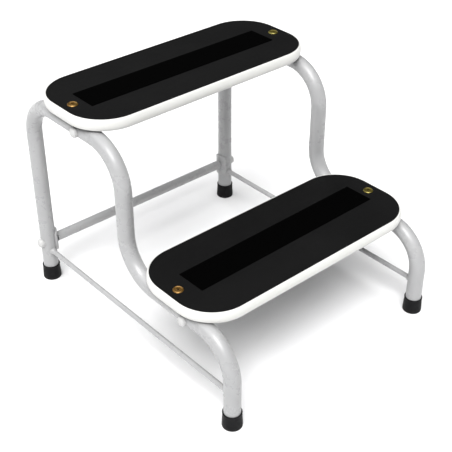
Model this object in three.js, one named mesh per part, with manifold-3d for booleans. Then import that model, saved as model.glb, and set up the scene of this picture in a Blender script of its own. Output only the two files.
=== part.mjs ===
// Two-step stool: bent tube side frames, bolted spreaders, edged tread boards and rubber feet.
// Millimetres, +Z up. The origin is on the floor midway between the legs; the steps climb towards +Y.
import * as THREE from "three";
import { mergeVertices } from "three/addons/utils/BufferGeometryUtils.js";
import Module from "manifold-3d";

const wasm = await Module();
wasm.setup();

// ---- clearances and fineness ----
const GAP = 0.3; // left between any two pieces that touch
const BEND_STEP_DEG = 11.25; // one station on a bend for each of these
const CORNER_SEGMENTS = 4; // three.js doubles this on an arc, so a corner matches the bend step
const TUBE_SIDES = 24;
const BORE_SIDES = 12;
const TURNED_SIDES = 20;
const SMALL_SIDES = 16;
const HEX_SIDES = 6;

// ---- side frames ----
const FRAME_X = 196.4; // from the middle of the stool to the plane of each side frame
const LEG_Y = 232.7; // front and rear legs, either side of the middle
const TUBE_RADIUS = 12.7;
const TUBE_WALL = 1.5;
const BEND_RADIUS = 62.7; // on the tube's centre line, so the inside of a bend is 50
const STEP_RISE = 198.3;

// ---- treads ----
const TREAD_TOP = 372.5; // upper tread; the lower one is a step rise below
const UPPER_FORWARD = 0.7; // each tread sits this far in front of the middle of its level run
const LOWER_FORWARD = 1.3;
const BOARD_LENGTH = 428;
const UPPER_DEPTH = 165.2;
const LOWER_DEPTH = 168.6;
const BOARD_THICKNESS = 18;
const BOARD_CORNER = 61.4;
const GROOVE_HEIGHT = 3;
const GROOVE_DEPTH = 9;
const EDGING_DEPTH = 4; // how far the domed face stands out from the board
const EDGING_STEPS = 10; // facets on the domed face
const BARB_THICKNESS = 1.6;
const BARB_TOOTH = 0.35;
const BARB_DEPTH = 8.2;
const SEAM = 0.5; // open butt joint at the middle of the back edge
const STRIP_LENGTH = 352;
const STRIP_DEPTH = 50;
const STRIP_THICKNESS = 0.8;
const STRIP_CORNER = 1;

// ---- tread fixings ----
const SCREW_RADIUS = 3;
const SCREW_REACH = 31; // below the top of the board
const SCREW_HEAD_RADIUS = 5;
const SCREW_HEAD_CONE = 1.2;
const SCREW_HEAD_RISE = 0.3; // from the board to the bottom of the head's cone
const SCREW_DOME = 0.2;
const RECESS_LENGTH = 4.8;
const RECESS_WIDTH = 1.5;
const RECESS_DEPTH = 1.2;
const WASHER_RADIUS = 8.1;
const WASHER_HEIGHT = 1.9; // its rim stands proud of the screw head
const WASHER_SHOULDER = 1.1; // rim set in from the outside
const WASHER_CREST = 1.6;
const NUT_FLANGE_RADIUS = 6.5;
const NUT_FLANGE_HEIGHT = 1.4;
const NUT_BODY_RADIUS = 4.4;
const NUT_BULGE_RADIUS = 6;
const NUT_BULGE_TOP = 4.2; // all three are below the flange
const NUT_BULGE_END = 8;
const NUT_LENGTH = 13;

// ---- spreaders and their bolts ----
const BRACE_Z = 73;
const BRACE_RADIUS = 8;
const BRACE_WALL = 1.2;
const SADDLE_LENGTH = 40;
const SADDLE_THICKNESS = 3;
const SADDLE_HALF_ANGLE_DEG = 60;
const SADDLE_END_RADIUS = 20.5; // rounds the plate to an oval
const INSERT_LENGTH = 20;
const INSERT_SETBACK = 1.2;
const BOLT_RADIUS = 3;
const BOLT_LENGTH = 45;
const BOLT_HEAD_RADIUS = 5;
const BOLT_HEAD_HEIGHT = 3.6;
const BOLT_SOCKET_RADIUS = 2.6;
const BOLT_SOCKET_DEPTH = 2.2;
const CAP_RADIUS = 7.75;
const CAP_BORE = 6;
const CAP_RISE = 6.9; // how far the dome stands off the tube
const CAP_TOP_THICKNESS = 2;

// ---- stay rods and feet ----
const ROD_Z = 57;
const ROD_RADIUS = 4;
const WELD_RADIUS = 6;
const WELD_LENGTH = 4;
const FOOT_FLOOR = 4; // rubber under the end of the tube
const FOOT_HEIGHT = 26.4;
const FOOT_TOP_RADIUS = 14.5;
const FOOT_BASE_RADIUS = 15.2;
const FOOT_CHAMFER = 1.4;
const FOOT_RING = [7, 9.5]; // shallow groove in the sole
const FOOT_RING_DEPTH = 0.8;

// ---- colours ----
const PAINT = 0xc9ccd0;
const CAP_WHITE = 0xf4f4f2;
const EDGING_WHITE = 0xf6f5f1;
const BOARD_BLACK = 0x222222;
const STRIP_BLACK = 0x080808;
const BRASS = 0xb08a3c;
const RUBBER = 0x1a1a1c;
const STEEL = 0xa9abad;

// ---- derived sizes ----
const HUG_RADIUS = TUBE_RADIUS + GAP; // inside of anything shaped to the tube
const SADDLE_OUTER = HUG_RADIUS + SADDLE_THICKNESS;
const STACK = TUBE_RADIUS + GAP + NUT_FLANGE_HEIGHT + GAP + BOARD_THICKNESS; // tube centre to tread top
const RUN_Y = LEG_Y / 2; // middle of each level run
const FOOT_BORE = HUG_RADIUS;
const TUBE_FOOT_Z = FOOT_FLOOR + GAP;
const LEVELS = [
  {
    name: "upper",
    y: RUN_Y - UPPER_FORWARD,
    top: TREAD_TOP,
    depth: UPPER_DEPTH,
    screwForward: 3.8, // this and the next are in front of the middle of the tread
    spreaderForward: 22.8,
    strip: { x: -2.4, y: -1.4, turnDeg: 0 },
  },
  {
    name: "lower",
    y: -RUN_Y - LOWER_FORWARD,
    top: TREAD_TOP - STEP_RISE,
    depth: LOWER_DEPTH,
    screwForward: 0.7,
    spreaderForward: 25.2,
    strip: { x: 3, y: 2.4, turnDeg: 0.6 },
  },
];
const SIDES = [
  { name: "left", sign: -1 },
  { name: "right", sign: 1 },
];
// Where each spreader crosses the side frames, and which way the tube it bolts to runs there.
const SPREADERS = [
  { name: "rear", y: LEG_Y, z: BRACE_Z, tubeAlong: new THREE.Vector3(0, 0, 1) },
  ...LEVELS.map((level) => ({
    name: level.name,
    y: level.y - level.spreaderForward,
    z: level.top - STACK,
    tubeAlong: new THREE.Vector3(0, 1, 0),
  })),
];
const UP = new THREE.Vector3(0, 0, 1);
const group = new THREE.Group();

// ---- shared shape tools ----

function degrees(angle) {
  return THREE.MathUtils.degToRad(angle);
}

function circlePoints(radius, sides) {
  return Array.from({ length: sides }, (_, i) => {
    const angle = (2 * Math.PI * i) / sides;
    return new THREE.Vector2(radius * Math.cos(angle), radius * Math.sin(angle));
  });
}

function roundedRectangle(length, depth, radius) {
  const x = length / 2 - radius;
  const y = depth / 2 - radius;
  const quarter = Math.PI / 2;
  const shape = new THREE.Shape();
  shape.absarc(x, y, radius, 0, quarter, false);
  shape.absarc(-x, y, radius, quarter, 2 * quarter, false);
  shape.absarc(-x, -y, radius, 2 * quarter, 3 * quarter, false);
  shape.absarc(x, -y, radius, 3 * quarter, 4 * quarter, false);
  shape.closePath();
  return shape;
}

function slab(shape, thickness, bottom = 0) {
  const options = { depth: thickness, bevelEnabled: false, curveSegments: CORNER_SEGMENTS };
  return new THREE.ExtrudeGeometry(shape, options).translate(0, 0, bottom);
}

// A turned piece on the Z axis from its [radius, height] profile, listed from the bottom up the outside.
function turned(profile, sides) {
  const points = profile.map(([radius, height]) => new THREE.Vector2(radius, height));
  return new THREE.LatheGeometry(points, sides).rotateX(Math.PI / 2);
}

// The same for a ring or sleeve, whose profile closes on itself clear of the axis.
function turnedRing(profile, sides) {
  return turned([...profile, profile[0]], sides);
}

function rod(radius, from, to, sides) {
  return turned([[0, from], [radius, from], [radius, to], [0, to]], sides);
}

function sleeve(outer, bore, from, to, sides) {
  return turnedRing([[bore, from], [outer, from], [outer, to], [bore, to]], sides);
}

// Turns a piece made along Z to lie along the given direction, then moves it there.
function aim(geometry, direction, position) {
  const turn = new THREE.Quaternion().setFromUnitVectors(UP, direction);
  return geometry.applyQuaternion(turn).translate(position.x, position.y, position.z);
}

function solidOf(geometry) {
  const bare = geometry.clone();
  bare.deleteAttribute("normal");
  bare.deleteAttribute("uv");
  const merged = mergeVertices(bare, 1e-4);
  const mesh = new wasm.Mesh({
    numProp: 3,
    vertProperties: merged.attributes.position.array,
    triVerts: new Uint32Array(merged.index.array),
  });
  return new wasm.Manifold(mesh);
}

function geometryOf(solid) {
  const mesh = solid.getMesh();
  const geometry = new THREE.BufferGeometry();
  geometry.setAttribute("position", new THREE.BufferAttribute(mesh.vertProperties, 3));
  geometry.setIndex(new THREE.BufferAttribute(mesh.triVerts, 1));
  geometry.computeVertexNormals();
  return geometry;
}

function cut(geometry, tools) {
  const solid = tools.reduce((left, tool) => left.subtract(solidOf(tool)), solidOf(geometry));
  return geometryOf(solid);
}

function common(a, b) {
  return geometryOf(solidOf(a).intersect(solidOf(b)));
}

function addPart(name, geometry, color, metalness = 0, roughness = 0.5) {
  const material = new THREE.MeshStandardMaterial({ color, metalness, roughness });
  const mesh = new THREE.Mesh(geometry, material);
  mesh.name = name;
  group.add(mesh);
}

// A flat path of straights and bends, noted station by station as [point, heading].
class PathPen {
  constructor(x, y, headingDeg) {
    this.x = x;
    this.y = y;
    this.heading = degrees(headingDeg);
    this.stations = [];
    this.note();
  }

  note() {
    const point = new THREE.Vector3(this.x, this.y, 0);
    const tangent = new THREE.Vector3(Math.cos(this.heading), Math.sin(this.heading), 0);
    this.stations.push({ point, tangent });
  }

  forward(length) {
    this.x += length * Math.cos(this.heading);
    this.y += length * Math.sin(this.heading);
    this.note();
    return this;
  }

  // Bends left for a positive angle and right for a negative one.
  bend(radius, angleDeg) {
    const side = Math.sign(angleDeg);
    const centreX = this.x - side * radius * Math.sin(this.heading);
    const centreY = this.y + side * radius * Math.cos(this.heading);
    const steps = Math.round(Math.abs(angleDeg) / BEND_STEP_DEG);
    for (let i = 0; i < steps; i += 1) {
      this.heading += degrees(angleDeg) / steps;
      this.x = centreX + side * radius * Math.sin(this.heading);
      this.y = centreY - side * radius * Math.cos(this.heading);
      this.note();
    }
    return this;
  }
}

// A curve that visits exactly the stations of a path, so a straight needs no steps of its own.
class StationCurve extends THREE.Curve {
  constructor(stations) {
    super();
    this.stations = stations;
  }

  blend(t, key, target) {
    const place = t * (this.stations.length - 1);
    const index = Math.min(Math.floor(place + 1e-6), this.stations.length - 2);
    const [from, to] = [this.stations[index][key], this.stations[index + 1][key]];
    return target.lerpVectors(from, to, place - index);
  }

  getPoint(t, target = new THREE.Vector3()) {
    return this.blend(t, "point", target);
  }

  getTangent(t, target = new THREE.Vector3()) {
    return this.blend(t, "tangent", target).normalize();
  }

  getUtoTmapping(u) {
    return u;
  }
}

// Sweeps a section along a pen's path. The section's x runs down (-Z) and its y to the left of travel.
function swept(section, pen) {
  const extrudePath = new StationCurve(pen.stations);
  return new THREE.ExtrudeGeometry(section, { steps: pen.stations.length - 1, extrudePath });
}

// ---- side frames ----

// The tube's centre line from rear foot to front foot: across the page is Y, up the page is Z.
function framePath() {
  const upperRun = LEVELS[0].top - STACK;
  const lowerRun = LEVELS[1].top - STACK;
  const level = LEG_Y - 2 * BEND_RADIUS;
  return new PathPen(LEG_Y, TUBE_FOOT_Z, 90)
    .forward(upperRun - BEND_RADIUS - TUBE_FOOT_Z)
    .bend(BEND_RADIUS, 90)
    .forward(level)
    .bend(BEND_RADIUS, 90)
    .forward(STEP_RISE - 2 * BEND_RADIUS)
    .bend(BEND_RADIUS, -90)
    .forward(level)
    .bend(BEND_RADIUS, 90)
    .forward(lowerRun - BEND_RADIUS - TUBE_FOOT_Z);
}

function boltHole(spreader) {
  const hole = rod(BOLT_RADIUS + GAP, -2 * TUBE_RADIUS, 2 * TUBE_RADIUS, SMALL_SIDES);
  return aim(hole, new THREE.Vector3(1, 0, 0), new THREE.Vector3(0, spreader.y, spreader.z));
}

function nutHole(level) {
  const hole = rod(NUT_BODY_RADIUS + GAP, 0, 2 * TUBE_RADIUS, SMALL_SIDES);
  return hole.translate(0, level.y - level.screwForward, level.top - STACK);
}

function sideFrame() {
  const section = new THREE.Shape(circlePoints(TUBE_RADIUS, TUBE_SIDES));
  section.holes.push(new THREE.Path(circlePoints(TUBE_RADIUS - TUBE_WALL, BORE_SIDES)));
  const tube = swept(section, framePath());
  const standUp = new THREE.Matrix4().makeBasis(
    new THREE.Vector3(0, 1, 0),
    new THREE.Vector3(0, 0, 1),
    new THREE.Vector3(1, 0, 0),
  );
  tube.applyMatrix4(standUp);
  return cut(tube, [...SPREADERS.map(boltHole), ...LEVELS.map(nutHole)]);
}

// A stay rod along Y with a weld flare at each end, hollowed to the legs it meets.
function stayRod() {
  const end = LEG_Y - TUBE_RADIUS / 2;
  const face = LEG_Y - HUG_RADIUS;
  const bar = turned(
    [
      [0, -end],
      [WELD_RADIUS, -end],
      [WELD_RADIUS, -face],
      [ROD_RADIUS, -face + WELD_LENGTH],
      [ROD_RADIUS, face - WELD_LENGTH],
      [WELD_RADIUS, face],
      [WELD_RADIUS, end],
      [0, end],
    ],
    SMALL_SIDES,
  );
  aim(bar, new THREE.Vector3(0, 1, 0), new THREE.Vector3(0, 0, ROD_Z));
  const leg = rod(HUG_RADIUS, 0, 2 * ROD_Z, TUBE_SIDES);
  return cut(bar, [leg.clone().translate(0, LEG_Y, 0), leg.translate(0, -LEG_Y, 0)]);
}

function foot() {
  const [ringInner, ringOuter] = FOOT_RING;
  return turned(
    [
      [0, 0],
      [ringInner, 0],
      [ringInner, FOOT_RING_DEPTH],
      [ringOuter, FOOT_RING_DEPTH],
      [ringOuter, 0],
      [FOOT_BASE_RADIUS - FOOT_CHAMFER, 0],
      [FOOT_BASE_RADIUS, FOOT_CHAMFER],
      [FOOT_BASE_RADIUS, 2 * FOOT_CHAMFER],
      [FOOT_TOP_RADIUS, FOOT_HEIGHT - FOOT_CHAMFER / 2],
      [FOOT_TOP_RADIUS - FOOT_CHAMFER / 2, FOOT_HEIGHT],
      [FOOT_BORE, FOOT_HEIGHT],
      [FOOT_BORE, FOOT_FLOOR],
      [0, FOOT_FLOOR],
    ],
    TURNED_SIDES,
  );
}

function addSide(side) {
  const x = side.sign * FRAME_X;
  addPart(`${side.name}_side_frame`, sideFrame().translate(x, 0, 0), PAINT, 0.1, 0.35);
  addPart(`${side.name}_stay_rod`, stayRod().translate(x, 0, 0), PAINT, 0.1, 0.35);
  addPart(`rear_${side.name}_foot`, foot().translate(x, LEG_Y, 0), RUBBER, 0, 0.8);
  addPart(`front_${side.name}_foot`, foot().translate(x, -LEG_Y, 0), RUBBER, 0, 0.8);
}

// ---- spreaders, each made in place across X = 0 ----

// Cut off square: each end butts against the curved back of a saddle.
function spreaderTube(spreader) {
  const end = FRAME_X - SADDLE_OUTER - GAP;
  const tube = sleeve(BRACE_RADIUS, BRACE_RADIUS - BRACE_WALL, -end, end, TUBE_SIDES);
  return aim(tube, new THREE.Vector3(1, 0, 0), new THREE.Vector3(0, spreader.y, spreader.z));
}

// A curved plate lying along Z against a tube on the Z axis, its middle facing +X.
function saddlePlate() {
  const half = degrees(SADDLE_HALF_ANGLE_DEG);
  const shape = new THREE.Shape();
  shape.absarc(0, 0, SADDLE_OUTER, -half, half, false);
  shape.absarc(0, 0, HUG_RADIUS, half, -half, true);
  shape.closePath();
  const plate = slab(shape, SADDLE_LENGTH, -SADDLE_LENGTH / 2);
  const alongX = new THREE.Vector3(1, 0, 0);
  const corners = rod(SADDLE_END_RADIUS, 0, 2 * SADDLE_OUTER, TUBE_SIDES);
  const hole = rod(BOLT_RADIUS + GAP, 0, 2 * SADDLE_OUTER, SMALL_SIDES);
  const centre = new THREE.Vector3();
  return cut(common(plate, aim(corners, alongX, centre)), [aim(hole, alongX, centre)]);
}

function saddle(spreader, sign) {
  const along = spreader.tubeAlong;
  const inward = new THREE.Vector3(-sign, 0, 0);
  const across = new THREE.Vector3().crossVectors(along, inward);
  const place = new THREE.Matrix4().makeBasis(inward, across, along);
  place.setPosition(sign * FRAME_X, spreader.y, spreader.z);
  return saddlePlate().applyMatrix4(place);
}

// The pieces on a bolt's axis are made along Z outwards from the middle of the side tube.
function insert() {
  const outer = -(SADDLE_OUTER + INSERT_SETBACK);
  const bore = BOLT_RADIUS + GAP;
  return sleeve(BRACE_RADIUS - BRACE_WALL - GAP, bore, outer - INSERT_LENGTH, outer, SMALL_SIDES);
}

function bolt() {
  const seat = HUG_RADIUS;
  const top = seat + BOLT_HEAD_HEIGHT;
  const body = turned(
    [
      [0, seat - BOLT_LENGTH],
      [BOLT_RADIUS, seat - BOLT_LENGTH],
      [BOLT_RADIUS, seat],
      [BOLT_HEAD_RADIUS, seat],
      [BOLT_HEAD_RADIUS, top],
      [0, top],
    ],
    SMALL_SIDES,
  );
  const socket = rod(BOLT_SOCKET_RADIUS, top - BOLT_SOCKET_DEPTH, top + 1, HEX_SIDES);
  return cut(body, [socket]);
}

function boltCap() {
  const top = TUBE_RADIUS + CAP_RISE;
  const base = TUBE_RADIUS / 2;
  const ceiling = top - CAP_TOP_THICKNESS;
  const dome = turned(
    [
      [CAP_BORE, base],
      [CAP_RADIUS, base],
      [CAP_RADIUS, top - 3.6],
      [0.94 * CAP_RADIUS, top - 2.3],
      [0.79 * CAP_RADIUS, top - 1.2],
      [0.5 * CAP_RADIUS, top - 0.4],
      [0, top],
      [0, ceiling],
      [CAP_BORE, ceiling],
      [CAP_BORE, base],
    ],
    TURNED_SIDES,
  );
  const along = new THREE.Vector3(0, 1, 0);
  const tube = aim(rod(HUG_RADIUS, -FRAME_X, FRAME_X, TUBE_SIDES), along, new THREE.Vector3());
  return cut(dome, [tube]);
}

// Stands a piece of the bolt's axis at one end of a spreader, its local Y along the side tube.
function atSpreaderEnd(geometry, spreader, sign) {
  const outward = new THREE.Vector3(sign, 0, 0);
  const across = new THREE.Vector3().crossVectors(spreader.tubeAlong, outward);
  const place = new THREE.Matrix4().makeBasis(across, spreader.tubeAlong, outward);
  place.setPosition(sign * FRAME_X, spreader.y, spreader.z);
  return geometry.applyMatrix4(place);
}

function addSpreader(spreader) {
  const kind = spreader.name === "rear" ? "brace" : "spreader";
  addPart(`${spreader.name}_${kind}_tube`, spreaderTube(spreader), PAINT, 0.1, 0.35);
  for (const side of SIDES) {
    const end = `${spreader.name}_${side.name}`;
    addPart(`${end}_saddle`, saddle(spreader, side.sign), PAINT, 0.1, 0.35);
    addPart(`${end}_insert`, atSpreaderEnd(insert(), spreader, side.sign), STEEL, 0.9, 0.4);
    addPart(`${end}_bolt`, atSpreaderEnd(bolt(), spreader, side.sign), STEEL, 0.9, 0.4);
    addPart(`${end}_bolt_cap`, atSpreaderEnd(boltCap(), spreader, side.sign), CAP_WHITE);
  }
}

// ---- treads, each made with the middle of its top at the origin ----

function board(level) {
  const outline = roundedRectangle(BOARD_LENGTH, level.depth, BOARD_CORNER);
  const beyond = roundedRectangle(BOARD_LENGTH + 2, level.depth + 2, BOARD_CORNER + 1);
  const core = roundedRectangle(
    BOARD_LENGTH - 2 * GROOVE_DEPTH,
    level.depth - 2 * GROOVE_DEPTH,
    BOARD_CORNER - GROOVE_DEPTH,
  );
  const low = -(BOARD_THICKNESS + GROOVE_HEIGHT) / 2;
  const groove = cut(slab(beyond, GROOVE_HEIGHT, low), [slab(core, 2 * GROOVE_HEIGHT, low - 1)]);
  const holes = SIDES.map((side) => {
    const hole = rod(SCREW_RADIUS + GAP, -BOARD_THICKNESS - 1, 1, SMALL_SIDES);
    return hole.translate(side.sign * FRAME_X, -level.screwForward, 0);
  });
  return cut(slab(outline, BOARD_THICKNESS, -BOARD_THICKNESS), [groove, ...holes]);
}

// The edging's section as points [out from the board's edge, up from the middle of its thickness].
function edgingSection() {
  const half = BOARD_THICKNESS / 2;
  const stem = BARB_THICKNESS / 2;
  const tooth = stem + BARB_TOOTH;
  const face = Array.from({ length: EDGING_STEPS + 1 }, (_, i) => {
    const angle = Math.PI * (i / EDGING_STEPS - 0.5);
    return [GAP + (EDGING_DEPTH - GAP) * Math.cos(angle), half * Math.sin(angle)];
  });
  const barb = [
    [GAP, stem],
    [-BARB_DEPTH / 2, stem],
    [-BARB_DEPTH / 2, tooth],
    [-BARB_DEPTH, 0],
    [-BARB_DEPTH / 2, -tooth],
    [-BARB_DEPTH / 2, -stem],
    [GAP, -stem],
  ];
  return new THREE.Shape([...face, ...barb].map(([out, up]) => new THREE.Vector2(-up, out)));
}

// Round the board clockwise from the middle of the back, so left of travel is outwards.
function edging(level) {
  const halfBack = BOARD_LENGTH / 2 - BOARD_CORNER - SEAM / 2;
  const end = level.depth - 2 * BOARD_CORNER;
  const front = BOARD_LENGTH - 2 * BOARD_CORNER;
  const pen = new PathPen(SEAM / 2, level.depth / 2, 0)
    .forward(halfBack)
    .bend(BOARD_CORNER, -90)
    .forward(end)
    .bend(BOARD_CORNER, -90)
    .forward(front)
    .bend(BOARD_CORNER, -90)
    .forward(end)
    .bend(BOARD_CORNER, -90)
    .forward(halfBack);
  return swept(edgingSection(), pen).translate(0, 0, -BOARD_THICKNESS / 2);
}

function gripStrip(lie) {
  const outline = roundedRectangle(STRIP_LENGTH, STRIP_DEPTH, STRIP_CORNER);
  return slab(outline, STRIP_THICKNESS, GAP).rotateZ(degrees(lie.turnDeg)).translate(lie.x, lie.y, 0);
}

function screw() {
  const neck = SCREW_HEAD_RISE;
  const rim = neck + SCREW_HEAD_CONE;
  const body = turned(
    [
      [0, -SCREW_REACH],
      [SCREW_RADIUS, -SCREW_REACH],
      [SCREW_RADIUS, neck],
      [SCREW_HEAD_RADIUS, rim],
      [SCREW_HEAD_RADIUS / 2, rim + 0.8 * SCREW_DOME],
      [0, rim + SCREW_DOME],
    ],
    SMALL_SIDES,
  );
  const arm = new THREE.BoxGeometry(RECESS_LENGTH, RECESS_WIDTH, 2 * RECESS_DEPTH);
  arm.translate(0, 0, rim + SCREW_DOME);
  return cut(body, [arm.clone(), arm.rotateZ(Math.PI / 2)]);
}

// A dished ring whose inner cone clears the screw head by the gap all round.
function cupWasher() {
  const slope = (SCREW_HEAD_RADIUS - SCREW_RADIUS) / SCREW_HEAD_CONE;
  const clear = GAP * Math.hypot(slope, 1);
  const seatAt = (height) => SCREW_RADIUS + clear + slope * (height - SCREW_HEAD_RISE);
  return turnedRing(
    [
      [seatAt(SCREW_HEAD_RISE), GAP],
      [WASHER_RADIUS, GAP],
      [WASHER_RADIUS, 2.5 * GAP],
      [WASHER_RADIUS - WASHER_SHOULDER, WASHER_HEIGHT - GAP],
      [WASHER_RADIUS - WASHER_CREST, WASHER_HEIGHT],
      [seatAt(WASHER_HEIGHT), WASHER_HEIGHT],
      [seatAt(SCREW_HEAD_RISE), SCREW_HEAD_RISE],
    ],
    TURNED_SIDES,
  );
}

function rivetNut() {
  const flange = -(BOARD_THICKNESS + GAP);
  const seat = flange - NUT_FLANGE_HEIGHT;
  const bore = SCREW_RADIUS + GAP;
  return turnedRing(
    [
      [bore, seat - NUT_LENGTH],
      [NUT_BODY_RADIUS, seat - NUT_LENGTH],
      [NUT_BODY_RADIUS, seat - NUT_BULGE_END],
      [NUT_BULGE_RADIUS, seat - (NUT_BULGE_END + NUT_BULGE_TOP) / 2],
      [NUT_BODY_RADIUS, seat - NUT_BULGE_TOP],
      [NUT_BODY_RADIUS, seat],
      [NUT_FLANGE_RADIUS, seat],
      [NUT_FLANGE_RADIUS, flange],
      [bore, flange],
    ],
    SMALL_SIDES,
  );
}

function addTread(level) {
  const settle = (geometry) => geometry.translate(0, level.y, level.top);
  addPart(`${level.name}_board`, settle(board(level)), BOARD_BLACK, 0, 0.6);
  addPart(`${level.name}_edging`, settle(edging(level)), EDGING_WHITE, 0, 0.35);
  addPart(`${level.name}_grip_strip`, settle(gripStrip(level.strip)), STRIP_BLACK, 0, 0.95);
  for (const side of SIDES) {
    const seat = (geometry) => settle(geometry.translate(side.sign * FRAME_X, -level.screwForward, 0));
    addPart(`${level.name}_${side.name}_screw`, seat(screw()), BRASS, 0.9, 0.35);
    addPart(`${level.name}_${side.name}_cup_washer`, seat(cupWasher()), BRASS, 0.9, 0.35);
    addPart(`${level.name}_${side.name}_rivet_nut`, seat(rivetNut()), STEEL, 0.9, 0.4);
  }
}

SIDES.forEach(addSide);
SPREADERS.forEach(addSpreader);
LEVELS.forEach(addTread);

export default group;
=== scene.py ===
"""Two-step stool: bent tube side frames, boards edged in white, brass screws and rubber feet.

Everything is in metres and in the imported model's own frame: +Z up, the steps climbing towards +Y.
"""

import logging
import math
import random
from collections.abc import Sequence
from dataclasses import dataclass, field
from enum import Enum

import bmesh
import bpy
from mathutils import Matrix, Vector


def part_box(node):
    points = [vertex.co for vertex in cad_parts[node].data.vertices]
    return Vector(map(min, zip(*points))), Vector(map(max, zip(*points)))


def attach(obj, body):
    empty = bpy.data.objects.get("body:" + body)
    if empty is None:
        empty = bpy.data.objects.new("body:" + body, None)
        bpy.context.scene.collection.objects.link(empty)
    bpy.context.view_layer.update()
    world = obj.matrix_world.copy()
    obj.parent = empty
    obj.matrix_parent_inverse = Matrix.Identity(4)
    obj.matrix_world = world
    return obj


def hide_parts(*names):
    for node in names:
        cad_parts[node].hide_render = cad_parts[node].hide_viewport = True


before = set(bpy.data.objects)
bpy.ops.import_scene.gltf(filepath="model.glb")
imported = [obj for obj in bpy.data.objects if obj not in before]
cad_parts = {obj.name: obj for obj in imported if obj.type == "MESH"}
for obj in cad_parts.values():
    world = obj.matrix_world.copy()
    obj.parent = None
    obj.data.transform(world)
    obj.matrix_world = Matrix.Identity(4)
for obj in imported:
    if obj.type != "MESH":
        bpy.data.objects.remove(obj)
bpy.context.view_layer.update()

MM = 0.001
log = logging.getLogger("step_stool")

Point = tuple[float, float]
Colour = tuple[float, float, float]
Socket = bpy.types.NodeSocket
Material = bpy.types.Material


class Slot(Enum):
    """The record's material slots."""

    PAINT = "frame_paint"
    CAP = "cap_plastic"
    EDGING = "edging_plastic"
    BOARD = "board_laminate"
    TAPE = "grip_tape"
    BRASS = "screw_brass"
    RUBBER = "foot_rubber"
    ZINC = "plated_steel"


class Side(Enum):
    """The user's left or right when climbing."""

    LEFT = -1
    RIGHT = 1

    @property
    def word(self) -> str:
        """The side's name as the nodes spell it.

        Returns:
            left or right.
        """
        return self.name.lower()


# ---- finishes


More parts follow.
